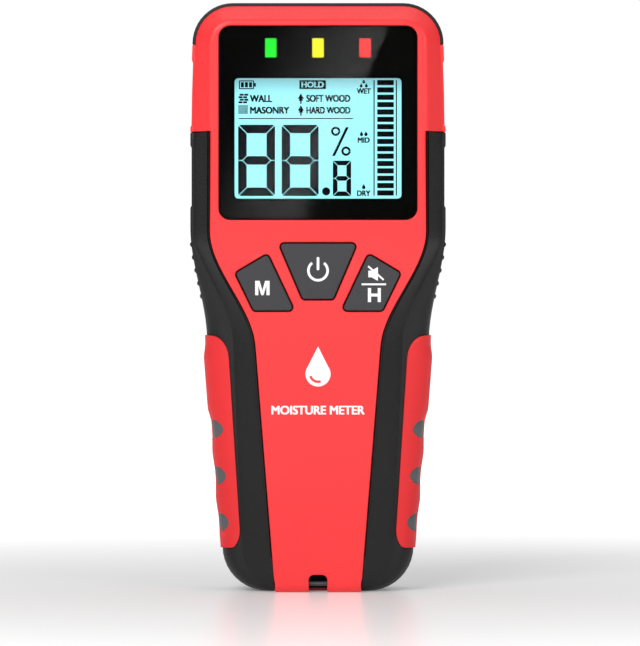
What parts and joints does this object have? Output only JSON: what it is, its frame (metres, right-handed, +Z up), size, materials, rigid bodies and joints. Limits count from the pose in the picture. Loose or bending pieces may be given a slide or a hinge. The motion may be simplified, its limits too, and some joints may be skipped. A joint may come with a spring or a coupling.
{
  "type": "moisture meter",
  "caption": "Hand-held pinless moisture meter with a display head, keys, rubber side grips, a sensing pad on its back and a battery bay behind a hinged door.",
  "frame": {"origin": "middle of the foot, at the bottom of the object's box", "axes": "+Z runs up the case from the foot to the display head, -Y is the way the display faces, +Y is the way the sensing pad faces"},
  "size_m": [0.0696, 0.0332, 0.16],
  "materials": {
    "red_shell": "moulded ABS, fine satin texture, red",
    "dark_shell": "moulded ABS, fine spark-eroded texture, charcoal",
    "soft_dark": "overmoulded thermoplastic rubber, fine matt texture, charcoal",
    "soft_red": "overmoulded thermoplastic rubber, satin, red",
    "soft_grey": "silicone rubber, matt, grey",
    "key_rubber": "silicone key mat, matt, charcoal with white printed legends",
    "window_gloss": "polished acrylic, back-printed black",
    "lcd_glass": "backlit liquid crystal glass, pale cyan",
    "light_guide": "clear acrylic light guide",
    "white_plastic": "white ABS",
    "black_plastic": "black ABS",
    "pad_plastic": "smooth black nylon, satin",
    "lamp_green": "clear acrylic light pipe, lit green",
    "lamp_yellow": "clear acrylic light pipe, lit yellow",
    "lamp_red": "clear acrylic light pipe, lit red",
    "circuit_board": "glass epoxy with green solder mask",
    "copper": "tinned copper foil on its carrier",
    "contact_brass": "spring brass",
    "steel": "nickel-plated steel",
    "screw_steel": "black zinc-plated steel",
    "battery_jacket": "printed steel jacket, plain slate",
    "foam": "closed-cell foam"
  },
  "bodies": {
    "case": {"front_shell": "red_shell", "rear_shell": "dark_shell", "top_bumper": "soft_dark", "side_grip_left": "soft_dark", "grip_pad_left": "soft_red", "pad_insert_left": "soft_grey", "side_grip_right": "soft_dark", "grip_pad_right": "soft_red", "pad_insert_right": "soft_grey", "display_window": "window_gloss", "window_tape": "foam", "lcd_panel": "lcd_glass", "lcd_backlight": "light_guide", "lcd_frame": "white_plastic", "zebra_strip": "soft_grey", "light_shield": "black_plastic", "light_pipe_green": "lamp_green", "led_green": "white_plastic", "light_pipe_yellow": "lamp_yellow", "led_yellow": "white_plastic", "light_pipe_red": "lamp_red", "led_red": "white_plastic", "power_switch": "steel", "mode_switch": "steel", "hold_switch": "steel", "main_board": "circuit_board", "controller_chip": "black_plastic", "buzzer": "black_plastic", "sensor_board": "circuit_board", "sensor_electrode": "copper", "board_link": "black_plastic", "sensor_pad": "pad_plastic", "battery_case": "battery_jacket", "battery_plus": "steel", "battery_minus": "steel", "contact_block": "black_plastic", "contact_plus": "contact_brass", "contact_minus": "contact_brass", "case_screw_upper_left": "screw_steel", "case_screw_upper_right": "screw_steel", "case_screw_lower_left": "screw_steel", "case_screw_lower_right": "screw_steel", "board_screw_upper_left": "steel", "board_screw_upper_right": "steel", "board_screw_lower_left": "steel", "board_screw_lower_right": "steel", "strap_bar": "steel"},
    "power_key": {"power_key": "key_rubber", "power_plunger": "white_plastic"},
    "mode_key": {"mode_key": "key_rubber", "mode_plunger": "white_plastic"},
    "hold_key": {"hold_key": "key_rubber", "hold_plunger": "white_plastic"},
    "battery_door": {"battery_door": "dark_shell", "battery_foam": "foam"},
    "door_latch": {"door_latch": "dark_shell"}
  },
  "joints": [
    {"name": "power_key_press", "type": "slide", "parent": "case", "child": "power_key", "axis": [0, 1, 0], "range_m": [0, 0.0005], "stiffness_N_per_m": 1500, "springref_m": -0.0004},
    {"name": "mode_key_press", "type": "slide", "parent": "case", "child": "mode_key", "axis": [0, 1, 0], "range_m": [0, 0.0005], "stiffness_N_per_m": 1500, "springref_m": -0.0004},
    {"name": "hold_key_press", "type": "slide", "parent": "case", "child": "hold_key", "axis": [0, 1, 0], "range_m": [0, 0.0005], "stiffness_N_per_m": 1500, "springref_m": -0.0004},
    {"name": "battery_door_open", "type": "hinge", "parent": "case", "child": "battery_door", "pos_m": [0, 0.0139, 0.01045], "axis": [-1, 0, 0], "range_deg": [0, 95]},
    {"name": "door_latch_press", "type": "hinge", "parent": "battery_door", "child": "door_latch", "pos_m": [0, 0.0143, 0.05775], "axis": [1, 0, 0], "range_deg": [0, 6], "stiffness_Nm_per_rad": 0.15, "springref_deg": -2.86}
  ]
}
